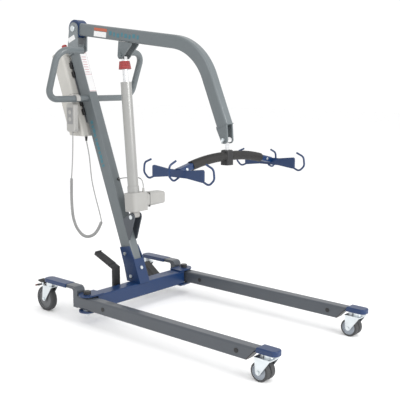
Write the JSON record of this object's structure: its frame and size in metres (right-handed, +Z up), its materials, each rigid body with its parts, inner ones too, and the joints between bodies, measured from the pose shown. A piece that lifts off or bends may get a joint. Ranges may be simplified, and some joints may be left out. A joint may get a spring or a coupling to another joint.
{
  "type": "patient lift hoist",
  "caption": "Mobile patient lift: castered opening legs, leaning mast, lifting boom driven by an electric actuator, and a six-hook spreader.",
  "frame": {"origin": "on the floor, below the middle of the machine's box", "axes": "+X forward, the way the legs point; +Y to the machine's left; +Z up"},
  "size_m": [1.5502, 0.706, 1.338],
  "materials": {
    "grey_paint": "smooth satin mid grey paint",
    "dark_grey_paint": "smooth satin dark grey paint",
    "navy_paint": "smooth navy blue paint",
    "light_grey_paint": "light grey paint",
    "bright_steel": "zinc plated",
    "chrome": "polished",
    "black_plastic": "moulded",
    "grey_plastic": "fine grained moulding",
    "light_plastic": "fine grained moulding",
    "red_plastic": "moulded",
    "tyre_rubber": "moulded rubber on a grey disc",
    "black_rubber": "soft foam sleeve",
    "cord_grey": "soft cable sheath"
  },
  "bodies": {
    "base": {"crossbar": "navy_paint", "clevis_plates": "navy_paint", "pivot_bolts": "bright_steel", "mast_socket": "navy_paint", "socket_bolts": "bright_steel", "mast": "grey_paint", "mast_top_bracket": "light_grey_paint", "boom_pivot_bolt": "bright_steel", "push_handle": "grey_paint", "handle_caps": "black_plastic", "control_bracket": "dark_grey_paint", "control_box": "light_plastic", "battery_pack": "light_plastic", "handset": "grey_plastic", "cable_glands": "black_plastic", "lower_bracket": "dark_grey_paint", "lower_pin": "bright_steel", "pedal_shaft": "dark_grey_paint", "motor_cable": "cord_grey", "handset_lead": "cord_grey", "curly_cord": "cord_grey", "box_lead": "cord_grey"},
    "right_leg": {"leg_right": "dark_grey_paint", "leg_plugs_right": "black_plastic", "rear_sleeve_right": "navy_paint", "caster_block_right": "navy_paint"},
    "right_rear_caster": {"rear_fork_right": "bright_steel"},
    "right_rear_wheel": {"rear_wheel_right": "tyre_rubber"},
    "right_brake": {"brake_pedal_right": "black_plastic"},
    "right_front_caster": {"front_fork_right": "bright_steel"},
    "right_front_inner_wheel": {"front_wheel_inner_right": "tyre_rubber"},
    "right_front_outer_wheel": {"front_wheel_outer_right": "tyre_rubber"},
    "left_leg": {"leg_left": "dark_grey_paint", "leg_plugs_left": "black_plastic", "rear_sleeve_left": "navy_paint", "caster_block_left": "navy_paint"},
    "left_rear_caster": {"rear_fork_left": "bright_steel"},
    "left_rear_wheel": {"rear_wheel_left": "tyre_rubber"},
    "left_brake": {"brake_pedal_left": "black_plastic"},
    "left_front_caster": {"front_fork_left": "bright_steel"},
    "left_front_inner_wheel": {"front_wheel_inner_left": "tyre_rubber"},
    "left_front_outer_wheel": {"front_wheel_outer_left": "tyre_rubber"},
    "boom": {"boom": "grey_paint", "boom_hub": "navy_paint", "upper_bracket": "grey_paint", "hanger_pin": "bright_steel"},
    "actuator": {"motor_housing": "grey_plastic", "actuator_tube": "grey_plastic"},
    "actuator_rod": {"actuator_rod": "chrome", "rod_coupling": "red_plastic"},
    "hanger": {"swivel_bolt": "chrome"},
    "spreader": {"spreader_hub": "black_plastic", "spreader_arms": "black_rubber", "hook_plates": "navy_paint", "sling_hooks": "navy_paint"},
    "right_pedal": {"pedal_right": "black_plastic"},
    "left_pedal": {"pedal_left": "black_plastic"},
    "stop_button": {"stop_button": "red_plastic"},
    "up_key": {"up_key": "grey_plastic"},
    "down_key": {"down_key": "grey_plastic"}
  },
  "joints": [
    {"name": "right_leg_spread", "type": "hinge", "parent": "base", "child": "right_leg", "pos_m": [-0.245, -0.315, 0.092], "axis": [0, 0, -1], "range_deg": [0, 12]},
    {"name": "left_leg_spread", "type": "hinge", "parent": "base", "child": "left_leg", "pos_m": [-0.245, 0.315, 0.092], "axis": [0, 0, -1], "range_deg": [-12, 0]},
    {"name": "right_pedal_swing", "type": "hinge", "parent": "base", "child": "right_pedal", "pos_m": [-0.293, -0.1, 0.092], "axis": [0, -1, 0], "range_deg": [0, 45]},
    {"name": "left_pedal_swing", "type": "hinge", "parent": "base", "child": "left_pedal", "pos_m": [-0.293, 0.187, 0.092], "axis": [0, -1, 0], "range_deg": [-45, 0]},
    {"name": "right_rear_swivel", "type": "hinge", "parent": "right_leg", "child": "right_rear_caster", "pos_m": [-0.5, -0.315, 0.12], "axis": [0, 0, 1], "continuous": true},
    {"name": "right_rear_roll", "type": "hinge", "parent": "right_rear_caster", "child": "right_rear_wheel", "pos_m": [-0.53, -0.315, 0.0575], "axis": [0, 1, 0], "continuous": true},
    {"name": "right_brake_press", "type": "hinge", "parent": "right_rear_caster", "child": "right_brake", "pos_m": [-0.536, -0.315, 0.129], "axis": [0, -1, 0], "range_deg": [0, 10]},
    {"name": "right_front_swivel", "type": "hinge", "parent": "right_leg", "child": "right_front_caster", "pos_m": [0.73, -0.315, 0.09], "axis": [0, 0, 1], "continuous": true},
    {"name": "right_front_inner_roll", "type": "hinge", "parent": "right_front_caster", "child": "right_front_inner_wheel", "pos_m": [0.705, -0.301, 0.0375], "axis": [0, 1, 0], "continuous": true},
    {"name": "right_front_outer_roll", "type": "hinge", "parent": "right_front_caster", "child": "right_front_outer_wheel", "pos_m": [0.705, -0.329, 0.0375], "axis": [0, 1, 0], "continuous": true},
    {"name": "left_rear_swivel", "type": "hinge", "parent": "left_leg", "child": "left_rear_caster", "pos_m": [-0.5, 0.315, 0.12], "axis": [0, 0, 1], "continuous": true},
    {"name": "left_rear_roll", "type": "hinge", "parent": "left_rear_caster", "child": "left_rear_wheel", "pos_m": [-0.53, 0.315, 0.0575], "axis": [0, 1, 0], "continuous": true},
    {"name": "left_brake_press", "type": "hinge", "parent": "left_rear_caster", "child": "left_brake", "pos_m": [-0.536, 0.315, 0.129], "axis": [0, -1, 0], "range_deg": [0, 10]},
    {"name": "left_front_swivel", "type": "hinge", "parent": "left_leg", "child": "left_front_caster", "pos_m": [0.73, 0.315, 0.09], "axis": [0, 0, 1], "continuous": true},
    {"name": "left_front_inner_roll", "type": "hinge", "parent": "left_front_caster", "child": "left_front_inner_wheel", "pos_m": [0.705, 0.301, 0.0375], "axis": [0, 1, 0], "continuous": true},
    {"name": "left_front_outer_roll", "type": "hinge", "parent": "left_front_caster", "child": "left_front_outer_wheel", "pos_m": [0.705, 0.329, 0.0375], "axis": [0, 1, 0], "continuous": true},
    {"name": "boom_lift", "type": "hinge", "parent": "base", "child": "boom", "pos_m": [-0.64, 0, 1.296], "axis": [0, -1, 0], "range_deg": [-8, 45]},
    {"name": "actuator_tilt", "type": "hinge", "parent": "base", "child": "actuator", "pos_m": [-0.264, 0, 0.43], "axis": [0, -1, 0], "range_deg": [-2.4, 0.5]},
    {"name": "actuator_extend", "type": "slide", "parent": "actuator", "child": "actuator_rod", "axis": [-0.0826, 0, 0.9966], "range_m": [-0.046, 0.2525]},
    {"name": "hanger_level", "type": "hinge", "parent": "boom", "child": "hanger", "pos_m": [0.279, 0, 0.818], "axis": [0, -1, 0], "range_deg": [-45, 8]},
    {"name": "spreader_swivel", "type": "hinge", "parent": "hanger", "child": "spreader", "pos_m": [0.279, 0, 0.74], "axis": [0, 0, 1], "continuous": true},
    {"name": "stop_press", "type": "slide", "parent": "base", "child": "stop_button", "axis": [0.354, 0, -0.9353], "range_m": [0, 0.0037], "stiffness_N_per_m": 300, "springref_m": -0.002},
    {"name": "up_press", "type": "slide", "parent": "base", "child": "up_key", "axis": [0, 1, 0], "range_m": [0, 0.002], "stiffness_N_per_m": 200, "springref_m": -0.001},
    {"name": "down_press", "type": "slide", "parent": "base", "child": "down_key", "axis": [0, 1, 0], "range_m": [0, 0.002], "stiffness_N_per_m": 200, "springref_m": -0.001}
  ],
  "couplings": [
    {"joint": "left_leg_spread", "follows": "right_leg_spread", "ratio": -1},
    {"joint": "right_pedal_swing", "follows": "right_leg_spread", "ratio": 3.75},
    {"joint": "left_pedal_swing", "follows": "right_leg_spread", "ratio": -3.75},
    {"joint": "actuator_tilt", "follows": "boom_lift", "ratio": -0.05},
    {"joint": "actuator_extend", "follows": "boom_lift", "m_per_rad": 0.32},
    {"joint": "hanger_level", "follows": "boom_lift", "ratio": -1}
  ]
}
